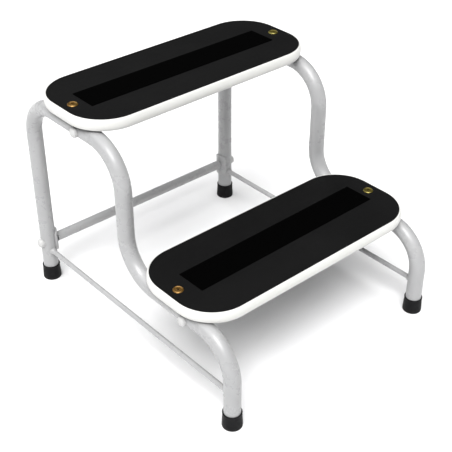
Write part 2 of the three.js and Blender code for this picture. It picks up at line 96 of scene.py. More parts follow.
class NodeBench:
    """Lays out the nodes of one material around its Principled shader."""

    NOISE_SPREAD: Point = (0.3, 0.7)

    def __init__(self, name: str) -> None:
        """Starts an empty material.

        Args:
            name: what the finish is called.
        """
        self.material = bpy.data.materials.new(name)
        self.material.use_nodes = True
        self.tree = self.material.node_tree
        self.shader = self.tree.nodes["Principled BSDF"]
        self._place = self.node("ShaderNodeTexCoord").outputs["Object"]

    def node(self, kind: str, **settings: object) -> bpy.types.Node:
        """Adds a node.

        Args:
            kind: the node's type name.
            settings: its properties.

        Returns:
            The new node.
        """
        made = self.tree.nodes.new(kind)
        for key, value in settings.items():
            setattr(made, key, value)
        return made

    def wire(self, source: Socket, target: Socket) -> None:
        """Joins an output to an input.

        Args:
            source: the output.
            target: the input.
        """
        self.tree.links.new(source, target)

    def stretched(self, scale: Sequence[float]) -> Socket:
        """Object coordinates scaled along each axis.

        Args:
            scale: the factor along X, Y and Z.

        Returns:
            The scaled coordinates.
        """
        mapping = self.node("ShaderNodeMapping")
        mapping.inputs["Scale"].default_value = tuple(scale)
        self.wire(self._place, mapping.inputs["Vector"])
        return mapping.outputs["Vector"]

    def noise(
        self, scale: float, detail: float = 3.0, rough: float = 0.5, place: Socket | None = None
    ) -> Socket:
        """Smooth noise over the surface.

        Args:
            scale: waves to the metre.
            detail: finer layers added on top.
            rough: how strong those layers are.
            place: coordinates, the object's own if left out.

        Returns:
            The noise, about 0 to 1.
        """
        made = self.node("ShaderNodeTexNoise")
        for name, value in (("Scale", scale), ("Detail", detail), ("Roughness", rough)):
            made.inputs[name].default_value = value
        self.wire(place or self._place, made.inputs["Vector"])
        return made.outputs["Fac"]

    def grains(self, scale: float, output: str = "Distance") -> Socket:
        """Separate grains scattered over the surface.

        Args:
            scale: grains to the metre.
            output: Distance for their shape, Color for a value each.

        Returns:
            The chosen output.
        """
        made = self.node("ShaderNodeTexVoronoi")
        made.inputs["Scale"].default_value = scale
        self.wire(self._place, made.inputs["Vector"])
        return made.outputs[output]

    def span(self, source: Socket, low: float, high: float, out: Point) -> Socket:
        """Maps a range of values to another, held at its ends.

        Args:
            source: the value.
            low: what gives the first of out.
            high: what gives the second of out.
            out: the values at low and high.

        Returns:
            The mapped value.
        """
        made = self.node("ShaderNodeMapRange")
        for name, value in (("From Min", low), ("From Max", high), ("To Min", out[0]), ("To Max", out[1])):
            made.inputs[name].default_value = value
        self.wire(source, made.inputs["Value"])
        return made.outputs["Result"]

    def sheen(self, source: Socket, gloss: Point) -> Socket:
        """Turns noise into an uneven roughness.

        Args:
            source: the noise.
            gloss: the least and the greatest roughness.

        Returns:
            The roughness.
        """
        return self.span(source, *self.NOISE_SPREAD, gloss)

    def blend(self, factor: Socket, first: Colour | Socket, second: Colour) -> Socket:
        """Mixes two colours.

        Args:
            factor: 0 for the first, 1 for the second.
            first: a colour, or the output that gives it.
            second: the other colour.

        Returns:
            The mixed colour.
        """
        made = self.node("ShaderNodeMix", data_type="RGBA")
        self.wire(factor, made.inputs["Factor"])
        if isinstance(first, Socket):
            self.wire(first, made.inputs[6])
        else:
            made.inputs[6].default_value = (*first, 1.0)
        made.inputs[7].default_value = (*second, 1.0)
        return made.outputs[2]

    def bump(self, height: Socket, strength: float, depth: float, under: Socket | None = None) -> Socket:
        """Turns a height into a bumpy normal.

        Args:
            height: the height, 0 to 1.
            strength: how much of the bump shows.
            depth: how deep it is, in metres.
            under: a coarser bump that this one lies on.

        Returns:
            The normal.
        """
        made = self.node("ShaderNodeBump")
        made.inputs["Strength"].default_value = strength
        made.inputs["Distance"].default_value = depth
        self.wire(height, made.inputs["Height"])
        if under is not None:
            self.wire(under, made.inputs["Normal"])
        return made.outputs["Normal"]

    def finish(self, colour: Socket, roughness: Socket, normal: Socket, **values: float) -> Material:
        """Wires the shader up.

        Args:
            colour: the base colour.
            roughness: the roughness.
            normal: the bumped normal.
            values: constants, by socket name with _ for a space.

        Returns:
            The finished material.
        """
        for name, source in (("Base Color", colour), ("Roughness", roughness), ("Normal", normal)):
            self.wire(source, self.shader.inputs[name])
        for name, value in values.items():
            self.shader.inputs[name.replace("_", " ")].default_value = value
        return self.material


@dataclass(frozen=True)
class PowderCoat:
    """Pale grey stoved powder coat with a fine orange-peel skin."""

    tone: Colour = (0.352, 0.352, 0.354)
    shade: Colour = (0.327, 0.328, 0.331)
    speck: Colour = (0.25, 0.25, 0.26)
    gloss: Point = (0.24, 0.34)
    peel_per_metre: float = 620.0

    def material(self) -> Material:
        """Builds the finish.

        Returns:
            The material.
        """
        bench = NodeBench("powder_coat")
        cloud = bench.span(bench.noise(14.0, 4.0, 0.6), 0.35, 0.7, (0.0, 1.0))
        tone = bench.blend(cloud, self.tone, self.shade)
        specks = bench.span(bench.noise(1500.0, 1.0), 0.70, 0.78, (0.0, 0.35))
        tone = bench.blend(specks, tone, self.speck)
        sheen = bench.sheen(bench.noise(45.0, 5.0, 0.65), self.gloss)
        peel = bench.bump(bench.noise(self.peel_per_metre, 2.0, 0.4), 0.22, 0.00012)
        drift = bench.bump(bench.noise(60.0, 2.0), 0.10, 0.0004, peel)
        return bench.finish(tone, sheen, drift, Specular_IOR_Level=0.5)


@dataclass(frozen=True)
class EdgingVinyl:
    """Warm white extruded vinyl with faint lines along its length."""

    tone: Colour = (0.63, 0.628, 0.608)
    handled: Colour = (0.575, 0.57, 0.545)
    gloss: Point = (0.30, 0.44)

    def material(self) -> Material:
        """Builds the finish.

        Returns:
            The material.
        """
        bench = NodeBench("edging_vinyl")
        cloud = bench.span(bench.noise(22.0, 5.0, 0.65), 0.45, 0.8, (0.0, 0.5))
        tone = bench.blend(cloud, self.tone, self.handled)
        lines = bench.noise(3.0, 3.0, 0.6, bench.stretched((2.0, 2.0, 500.0)))
        sheen = bench.sheen(bench.noise(70.0, 4.0, 0.6), self.gloss)
        normal = bench.bump(lines, 0.18, 0.00012, bench.bump(bench.noise(480.0, 2.0), 0.10, 0.0001))
        return bench.finish(tone, sheen, normal, Specular_IOR_Level=0.45)


@dataclass(frozen=True)
class MouldedNylon:
    """White moulded nylon of the bolt caps."""

    tone: Colour = (0.48, 0.48, 0.475)
    shade: Colour = (0.44, 0.438, 0.43)
    gloss: Point = (0.28, 0.42)

    def material(self) -> Material:
        """Builds the finish.

        Returns:
            The material.
        """
        bench = NodeBench("moulded_nylon")
        cloud = bench.span(bench.noise(90.0, 4.0, 0.6), 0.4, 0.8, (0.0, 0.4))
        tone = bench.blend(cloud, self.tone, self.shade)
        sheen = bench.sheen(bench.noise(260.0, 3.0), self.gloss)
        normal = bench.bump(bench.noise(1400.0, 2.0), 0.16, 0.00008)
        return bench.finish(tone, sheen, normal, Specular_IOR_Level=0.45)


@dataclass(frozen=True)
class BoardLaminate:
    """Matt black laminate with a fine pebbled skin and a little dust."""

    tone: Colour = (0.0050, 0.0050, 0.0051)
    worn: Colour = (0.0064, 0.0064, 0.0065)
    lint: Colour = (0.02, 0.02, 0.02)
    gloss: Point = (0.52, 0.66)

    def material(self) -> Material:
        """Builds the finish.

        Returns:
            The material.
        """
        bench = NodeBench("board_laminate")
        cloud = bench.span(bench.noise(9.0, 6.0, 0.62), 0.4, 0.75, (0.0, 1.0))
        tone = bench.blend(cloud, self.tone, self.worn)
        specks = bench.span(bench.noise(900.0, 1.0), 0.74, 0.80, (0.0, 0.30))
        tone = bench.blend(specks, tone, self.lint)
        sheen = bench.sheen(bench.noise(30.0, 5.0, 0.65), self.gloss)
        pebble = bench.bump(bench.grains(1100.0), 0.30, 0.00010)
        normal = bench.bump(bench.noise(260.0, 3.0), 0.12, 0.0002, pebble)
        return bench.finish(tone, sheen, normal, Specular_IOR_Level=0.06)


@dataclass(frozen=True)
class GritTape:
    """Anti-slip tape: black mineral grit set in resin."""

    tone: Colour = (0.0006, 0.0006, 0.0006)
    glint: Colour = (0.006, 0.006, 0.006)
    gloss: Point = (0.80, 0.98)
    grain_per_metre: float = 1500.0

    def material(self) -> Material:
        """Builds the finish.

        Returns:
            The material.
        """
        bench = NodeBench("grit_tape")
        pick = bench.grains(self.grain_per_metre, "Color")
        bright = bench.span(pick, 0.86, 0.96, (0.0, 0.35))
        tone = bench.blend(bright, self.tone, self.glint)
        sheen = bench.sheen(bench.noise(800.0, 3.0), self.gloss)
        grit = bench.bump(bench.grains(self.grain_per_metre), 0.85, 0.0004)
        normal = bench.bump(bench.noise(340.0, 3.0, 0.6), 0.4, 0.0003, grit)
        return bench.finish(tone, sheen, normal, Specular_IOR_Level=0.01)


@dataclass(frozen=True)
class Brass:
    """Brass-coloured plate whose tint drifts from olive to orange, browner in patches."""

    olive: Colour = (0.135, 0.130, 0.020)
    orange: Colour = (0.23, 0.118, 0.022)
    tarnish: Colour = (0.055, 0.035, 0.008)
    gloss: Point = (0.30, 0.46)

    def material(self) -> Material:
        """Builds the finish.

        Returns:
            The material.
        """
        bench = NodeBench("brass_plate")
        drift = bench.span(bench.noise(2.6, 1.0), 0.42, 0.58, (1.0, 0.0))
        tone = bench.blend(drift, self.olive, self.orange)
        stain = bench.span(bench.noise(420.0, 6.0, 0.7), 0.46, 0.74, (0.0, 0.7))
        tone = bench.blend(stain, tone, self.tarnish)
        sheen = bench.sheen(bench.noise(500.0, 4.0, 0.6), self.gloss)
        normal = bench.bump(bench.noise(1900.0, 3.0), 0.25, 0.00006)
        return bench.finish(tone, sheen, normal, Metallic=0.7, Specular_IOR_Level=0.9)


@dataclass(frozen=True)
class FootRubber:
    """Black moulded rubber, dusty where it has been on the floor."""

    tone: Colour = (0.0030, 0.0030, 0.0036)
    dust: Colour = (0.045, 0.043, 0.040)
    dust_top: float = 6 * MM
    gloss: Point = (0.52, 0.72)

    def material(self) -> Material:
        """Builds the finish.

        Returns:
            The material.
        """
        bench = NodeBench("foot_rubber")
        low = bench.node("ShaderNodeSeparateXYZ")
        bench.wire(bench.stretched((1.0, 1.0, 1.0)), low.inputs["Vector"])
        near_floor = bench.span(low.outputs["Z"], self.dust_top, 0.0, (0.0, 1.0))
        patchy = bench.node("ShaderNodeMath", operation="MULTIPLY")
        bench.wire(near_floor, patchy.inputs[0])
        bench.wire(bench.span(bench.noise(220.0, 5.0, 0.7), 0.4, 0.75, (0.0, 0.8)), patchy.inputs[1])
        tone = bench.blend(patchy.outputs["Value"], self.tone, self.dust)
        sheen = bench.sheen(bench.noise(150.0, 4.0, 0.6), self.gloss)
        normal = bench.bump(bench.noise(1300.0, 3.0, 0.6), 0.35, 0.00012)
        return bench.finish(tone, sheen, normal, Specular_IOR_Level=0.16)


@dataclass(frozen=True)
class ZincPlate:
    """Bright zinc plate on the bolts, inserts and nuts."""

    tone: Colour = (0.56, 0.57, 0.59)
    spangle: Colour = (0.42, 0.44, 0.47)
    gloss: Point = (0.26, 0.42)

    def material(self) -> Material:
        """Builds the finish.

        Returns:
            The material.
        """
        bench = NodeBench("zinc_plate")
        crystals = bench.span(bench.grains(420.0, "Color"), 0.2, 0.8, (0.0, 0.6))
        tone = bench.blend(crystals, self.tone, self.spangle)
        sheen = bench.sheen(bench.noise(600.0, 4.0), self.gloss)
        normal = bench.bump(bench.noise(2200.0, 2.0), 0.2, 0.00005)
        return bench.finish(tone, sheen, normal, Metallic=1.0)


@dataclass(frozen=True)
class StudioPaper:
    """The pale paper the stool stands on."""

    tone: Colour = (0.83, 0.83, 0.833)
    shade: Colour = (0.815, 0.815, 0.82)
    gloss: Point = (0.9, 1.0)

    def material(self) -> Material:
        """Builds the finish.

        Returns:
            The material.
        """
        bench = NodeBench("studio_paper")
        cloud = bench.span(bench.noise(3.0, 3.0), 0.3, 0.7, (0.0, 1.0))
        tone = bench.blend(cloud, self.tone, self.shade)
        sheen = bench.sheen(bench.noise(20.0, 3.0), self.gloss)
        normal = bench.bump(bench.noise(900.0, 3.0), 0.05, 0.0001)
        return bench.finish(tone, sheen, normal, Specular_IOR_Level=0.0)


class Finishes:
    """One material for each slot of the record."""

    RECIPES = {
        Slot.PAINT: PowderCoat,
        Slot.CAP: MouldedNylon,
        Slot.EDGING: EdgingVinyl,
        Slot.BOARD: BoardLaminate,
        Slot.TAPE: GritTape,
        Slot.BRASS: Brass,
        Slot.RUBBER: FootRubber,
        Slot.ZINC: ZincPlate,
    }

    def __init__(self) -> None:
        """Builds every finish once."""
        self._made = {slot: recipe().material() for slot, recipe in self.RECIPES.items()}

    def __getitem__(self, slot: Slot) -> Material:
        """The material of a slot.

        Args:
            slot: the slot.

        Returns:
            Its material.
        """
        return self._made[slot]


# ---- shapes


@dataclass
class Skin:
    """A closed surface: rings of points, each joined to the next.

    A ring of one point is a tip. Unless the rings loop back, the first and last are filled in.
    """

    rings: list[list[Vector]]
    loops: bool = False

    def faces(self) -> list[tuple[int, ...]]:
        """The faces, their points counted ring by ring.

        Returns:
            The point numbers of each face.
        """
        starts = [0]
        for ring in self.rings:
            starts.append(starts[-1] + len(ring))
        pairs = list(zip(range(len(self.rings) - 1), range(1, len(self.rings))))
        if self.loops:
            pairs.append((len(self.rings) - 1, 0))
        faces: list[tuple[int, ...]] = []
        for low, high in pairs:
            faces += self._band(starts[low], len(self.rings[low]), starts[high], len(self.rings[high]))
        if not self.loops:
            for index in (0, len(self.rings) - 1):
                if len(self.rings[index]) > 1:
                    faces.append(tuple(range(starts[index], starts[index + 1])))
        return faces

    @staticmethod
    def _band(a: int, a_count: int, b: int, b_count: int) -> list[tuple[int, ...]]:
        """The faces between two rings.

        Args:
            a: number of the first ring's first point.
            a_count: how many points the first ring has.
            b: number of the second ring's first point.
            b_count: how many points the second ring has.

        Returns:
            Quads, or triangles to a tip.
        """
        count = max(a_count, b_count)
        band = []
        for i in range(count):
            j = (i + 1) % count
            if a_count == 1:
                band.append((a, b + j, b + i))
            elif b_count == 1:
                band.append((a + i, a + j, b))
            else:
                band.append((a + i, a + j, b + j, b + i))
        return band


def filleted(corners: Sequence[tuple[float, float, float]], steps: int = 4) -> list[Point]:
    """Rounds the corners of an open line.

    Args:
        corners: x, y and the radius at each corner; the two ends stay as they are.
        steps: facets to each rounded corner.

    Returns:
        The rounded line.
    """
    line: list[Point] = [corners[0][:2]]
    for before, here, after in zip(corners, corners[1:], corners[2:]):
        corner = Vector(here[:2])
        back = (Vector(before[:2]) - corner).normalized()
        ahead = (Vector(after[:2]) - corner).normalized()
        half = back.angle(ahead) / 2
        if here[2] <= 0 or half > math.radians(88):
            line.append(here[:2])
            continue
        reach = here[2] / math.tan(half)
        centre = corner + (back + ahead).normalized() * (here[2] / math.sin(half))
        start, end = corner + back * reach - centre, corner + ahead * reach - centre
        turn = start.angle_signed(end)
        for i in range(steps + 1):
            angle = -turn * i / steps
            cos, sin = math.cos(angle), math.sin(angle)
            spoke = Vector((start.x * cos - start.y * sin, start.x * sin + start.y * cos))
            line.append(tuple(centre + spoke))
    line.append(corners[-1][:2])
    return line


@dataclass(frozen=True)
class Axis:
    """A place with a direction to turn about."""

    origin: Vector
    along: Vector

    def across(self) -> tuple[Vector, Vector]:
        """Two directions at right angles to the axis and to each other.

        Returns:
            The two directions.
        """
        guide = Vector((0, 0, 1)) if abs(self.along.z) < 0.9 else Vector((0, 1, 0))
        first = guide.cross(self.along).normalized()
        return first, self.along.cross(first).normalized()

    def ring(self, radius: float, height: float, sides: int) -> list[Vector]:
        """A circle about the axis, or the one point on it.

        Args:
            radius: of the circle.
            height: along the axis from its origin.
            sides: points round the circle.

        Returns:
            The points.
        """
        centre = self.origin + self.along * height
        if radius < 1e-7:
            return [centre]
        first, second = self.across()
        turns = [2 * math.pi * i / sides for i in range(sides)]
        return [centre + (first * math.cos(t) + second * math.sin(t)) * radius for t in turns]


def turned(axis: Axis, profile: Sequence[Point], sides: int, loops: bool = False) -> Skin:
    """Turns a profile about an axis as on a lathe.

    Args:
        axis: what it turns about.
        profile: radius and height of each point.
        sides: points round each ring.
        loops: whether the profile closes on itself, as for a sleeve.

    Returns:
        The turned skin.
    """
    return Skin([axis.ring(radius, height, sides) for radius, height in profile], loops)


@dataclass(frozen=True)
class Station:
    """A place on a flat path, and the direction it is going."""

    x: float
    y: float
    heading: float

    def left(self) -> Point:
        """The direction to the left of travel.

        Returns:
            Its x and y.
        """
        return -math.sin(self.heading), math.cos(self.heading)


@dataclass
class Bender:
    """Draws a flat path of straights and bends."""

    x: float
    y: float
    heading_deg: float
    step_deg: float = 3.0
    stations: list[Station] = field(default_factory=list)

    def __post_init__(self) -> None:
        """Notes the starting point."""
        self.heading = math.radians(self.heading_deg)
        self._note()

    def _note(self) -> None:
        """Keeps the present place as a station."""
        self.stations.append(Station(self.x, self.y, self.heading))

    def ahead(self, length: float, pitch: float = 0.02) -> "Bender":
        """Goes straight on.

        Args:
            length: how far.
            pitch: greatest distance between stations.

        Returns:
            This bender.
        """
        steps = max(1, math.ceil(length / pitch))
        for _ in range(steps):
            self.x += length / steps * math.cos(self.heading)
            self.y += length / steps * math.sin(self.heading)
            self._note()
        return self

    def bend(self, radius: float, angle_deg: float) -> "Bender":
        """Goes round a bend.

        Args:
            radius: of the bend.
            angle_deg: to the left if positive, to the right if negative.

        Returns:
            This bender.
        """
        side = math.copysign(1.0, angle_deg)
        centre_x = self.x - side * radius * math.sin(self.heading)
        centre_y = self.y + side * radius * math.cos(self.heading)
        steps = round(abs(angle_deg) / self.step_deg)
        for _ in range(steps):
            self.heading += math.radians(angle_deg) / steps
            self.x = centre_x + side * radius * math.sin(self.heading)
            self.y = centre_y - side * radius * math.cos(self.heading)
            self._note()
        return self


def rounded_outline(length: float, depth: float, radius: float, step_deg: float = 3.0) -> list[Point]:
    """A rectangle with rounded corners, anticlockwise from above, about the origin.

    Args:
        length: along x.
        depth: along y.
        radius: of the corners.
        step_deg: fineness of the corners.

    Returns:
        The outline's points.
    """
    bender = Bender(-length / 2 + radius, -depth / 2, 0.0, step_deg)
    for run in (length, depth, length, depth):
        bender.ahead(run - 2 * radius, 0.05).bend(radius, 90)
    return [(s.x, s.y) for s in bender.stations[:-1]]


def lumpy(seed: int, count: int, size: float) -> list[float]:
    """Smooth uneven steps round a ring, such as the ripples of a weld.

    Args:
        seed: picks the pattern.
        count: values wanted.
        size: greatest departure from 0.

    Returns:
        The values.
    """
    dice = random.Random(seed)
    waves = [(k, dice.uniform(0, 2 * math.pi), dice.uniform(0.4, 1.0) / k) for k in (2, 3, 5, 9)]
    total = sum(weight for _, _, weight in waves)
    turns = [2 * math.pi * i / count for i in range(count)]
    return [size * sum(w * math.sin(k * t + p) for k, p, w in waves) / total for t in turns]


# ---- the bench


def placed(name: str, data: bpy.types.ID) -> bpy.types.Object:
    """Puts a mesh, lamp or camera in the scene.

    Args:
        name: the object's name.
        data: what the object holds.

    Returns:
        The object.
    """
    made = bpy.data.objects.new(name, data)
    bpy.context.scene.collection.objects.link(made)
    return made


class Workbench:
    """Makes skins into dressed pieces that ride with the stool."""

    BODY = "root"
    SHARP_DEG = 32.0

    def __init__(self, finishes: Finishes) -> None:
        """Sets out the finishes.

        Args:
            finishes: the materials by slot.
        """
        self.finishes = finishes

    def mesh_of(self, name: str, skin: Skin) -> bpy.types.Mesh:
        """Builds a mesh with its faces outwards and its hard edges marked.

        Args:
            name: the mesh's name.
            skin: its points and faces.

        Returns:
            The mesh.
        """
        mesh = bpy.data.meshes.new(name)
        mesh.from_pydata([tuple(p) for ring in skin.rings for p in ring], [], skin.faces())
        work = bmesh.new()
        work.from_mesh(mesh)
        bmesh.ops.remove_doubles(work, verts=work.verts, dist=1e-7)
        bmesh.ops.recalc_face_normals(work, faces=work.faces)
        work.to_mesh(mesh)
        work.free()
        mesh.validate()
        mesh.shade_smooth()
        mesh.set_sharp_from_angle(angle=math.radians(self.SHARP_DEG))
        return mesh

    def piece(self, name: str, skin: Skin, slot: Slot, node: str) -> bpy.types.Object:
        """Makes one piece, dressed and in place of its solid.

        Args:
            name: the piece's name.
            skin: its shape.
            slot: its finish.
            node: the solid it stands for.

        Returns:
            The piece.
        """
        made = placed(name, self.mesh_of(name, skin))
        made.data.materials.append(self.finishes[slot])
        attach(made, self.BODY)
        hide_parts(node)
        log.info("%s stands for %s, %d faces", name, node, len(made.data.polygons))
        return made

    def dress_solid(self, node: str, slot: Slot) -> None:
        """Gives a solid that stays in view its finish.

        Args:
            node: the solid.
            slot: its finish.
        """
        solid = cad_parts[node]
        solid.data.materials.clear()
        solid.data.materials.append(self.finishes[slot])
        log.info("%s keeps its solid", node)

    def carve(self, piece: bpy.types.Object, cutters: Sequence[Skin]) -> None:
        """Cuts shapes out of a piece and marks its edges again.

        Args:
            piece: what is cut.
            cutters: the shapes taken away.
        """
        for index, skin in enumerate(cutters):
            tool = placed("cutter", self.mesh_of("cutter", skin))
            cut = piece.modifiers.new(f"cut_{index}", "BOOLEAN")
            cut.operation = "DIFFERENCE"
            cut.solver = "EXACT"
            cut.object = tool
            bpy.context.view_layer.update()
            shape = piece.evaluated_get(bpy.context.evaluated_depsgraph_get())
            carved = bpy.data.meshes.new_from_object(shape)
            piece.modifiers.clear()
            old, piece.data = piece.data, carved
            bpy.data.meshes.remove(old)
            bpy.data.objects.remove(tool)
        piece.data.shade_smooth()
        piece.data.set_sharp_from_angle(angle=math.radians(self.SHARP_DEG))


def middle(node: str) -> Vector:
    """The middle of a solid's box.

    Args:
        node: the solid.

    Returns:
        The middle.
    """
    low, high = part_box(node)
    return (low + high) / 2


# ---- side frames


@dataclass
class SideFrame:
    """One bent tube with its stay rod and two rubber feet."""

    side: Side
    tube_sides: int = 56
    inside_bend: float = 50 * MM
    bead_reach: float = 3.6 * MM
    bead_radius: float = 6.0 * MM
    bead_lump: float = 0.42 * MM
    weld_seed: int = 20
    rod_radius: float = 4 * MM
    rod_sides: int = 40
    foot_mouth: float = 14.5 * MM
    foot_gap: float = 0.15 * MM
    radius: float = field(init=False)
    x: float = field(init=False)
    leg_y: float = field(init=False)

    def __post_init__(self) -> None:
        """Reads the tube's size and place from its solid."""
        low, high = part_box(self.node)
        self.radius = (high.x - low.x) / 2
        self.x = (low.x + high.x) / 2
        self.leg_y = high.y - self.radius

    @property
    def node(self) -> str:
        """The side frame's solid.

        Returns:
            Its name.
        """
        return f"{self.side.word}_side_frame"

    def build(self, bench: Workbench) -> None:
        """Makes the tube, rod and feet.

        Args:
            bench: where pieces are made.
        """
        bench.piece(f"{self.side.word}_bent_tube", self._tube(), Slot.PAINT, self.node)
        rod = f"{self.side.word}_stay_rod"
        bench.piece(f"{rod}_welded", self._rod(rod), Slot.PAINT, rod)
        for end in ("rear", "front"):
            foot = f"{end}_{self.side.word}_foot"
            bench.piece(f"{foot}_ferrule", self._foot(foot), Slot.RUBBER, foot)

    def _tube(self) -> Skin:
        """The tube from the rear foot over both steps to the front foot.

        Returns:
            Its skin.
        """
        low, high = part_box(self.node)
        upper = high.z - self.radius
        lower = middle("lower_spreader_tube").z
        bend = self.inside_bend + self.radius
        level = self.leg_y - 2 * bend
        path = (
            Bender(self.leg_y, low.z, 90.0)
            .ahead(upper - bend - low.z)
            .bend(bend, 90)
            .ahead(level)
            .bend(bend, 90)
            .ahead(upper - lower - 2 * bend)
            .bend(bend, -90)
            .ahead(level)
            .bend(bend, 90)
            .ahead(lower - bend - low.z)
        )
        return Skin([self._tube_ring(station) for station in path.stations])

    def _tube_ring(self, station: Station) -> list[Vector]:
        """The tube's outline at a station of its centre line.

        Args:
            station: the place along it.

        Returns:
            The outline's points.
        """
        left = station.left()
        ring = []
        for i in range(self.tube_sides):
            turn = 2 * math.pi * i / self.tube_sides
            out, across = self.radius * math.cos(turn), self.radius * math.sin(turn)
            ring.append(Vector((self.x + across, station.x + out * left[0], station.y + out * left[1])))
        return ring

    def _rod(self, node: str) -> Skin:
        """The stay rod, with an uneven weld bead where it meets each leg.

        Args:
            node: the rod's solid.

        Returns:
            Its skin.
        """
        z = middle(node).z
        radius, sides = self.rod_radius, self.rod_sides
        half = self.leg_y - self.radius - self.bead_reach
        bead = [(0.0, 0.0), (0.15, 0.34), (0.35, 0.62), (0.6, 0.85), (0.85, 0.98), (1.0, 1.0), (1.12, 0.9)]
        rings: list[list[Vector]] = []
        for end in (-1, 1):
            lumps = lumpy(self.weld_seed + 7 * self.side.value + end, sides, self.bead_lump)
            rows = []
            for reach, swell in bead:
                ring = []
                for i in range(sides):
                    turn = 2 * math.pi * i / sides
                    r = radius + swell * (self.bead_radius - radius + lumps[i])
                    dx, dz = r * math.cos(turn), r * math.sin(turn)
                    hug = self.radius - math.sqrt(max(self.radius**2 - dx**2, 0.0))
                    y = half + reach * (self.bead_reach + hug)
                    ring.append(Vector((self.x + dx, end * y, z + dz)))
                rows.append(ring)
            rings = rows[::-1] if end < 0 else rings + rows
        return Skin(rings)

    def _foot(self, node: str) -> Skin:
        """A ferrule pushed on to a leg: lipped mouth, slight flare, grooved sole.

        Args:
            node: the foot's solid.

        Returns:
            Its skin.
        """
        low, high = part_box(node)
        base = (high.x - low.x) / 2
        height = high.z - low.z
        bore = self.radius + self.foot_gap
        mouth = self.foot_mouth
        profile = filleted(
            [(0.0, 0.0, 0.0), (7.0 * MM, 0.0, 0.2 * MM), (7.3 * MM, 0.8 * MM, 0.2 * MM)]
            + [(9.2 * MM, 0.8 * MM, 0.2 * MM), (9.5 * MM, 0.0, 0.2 * MM)]
            + [(base - 0.1 * MM, 0.0, 1.3 * MM), (base, 3.4 * MM, 0.8 * MM)]
            + [(mouth - 0.25 * MM, height - 3.0 * MM, 0.6 * MM)]
            + [(mouth + 0.05 * MM, height - 2.2 * MM, 0.4 * MM), (mouth + 0.05 * MM, height, 0.7 * MM)]
            + [(bore, height, 0.4 * MM), (bore, height - 2.0 * MM, 0.0), (0.0, height - 2.0 * MM, 0.0)]
        )
        centre = middle(node)
        return turned(Axis(Vector((centre.x, centre.y, low.z)), Vector((0, 0, 1))), profile, 56)


# ---- spreaders


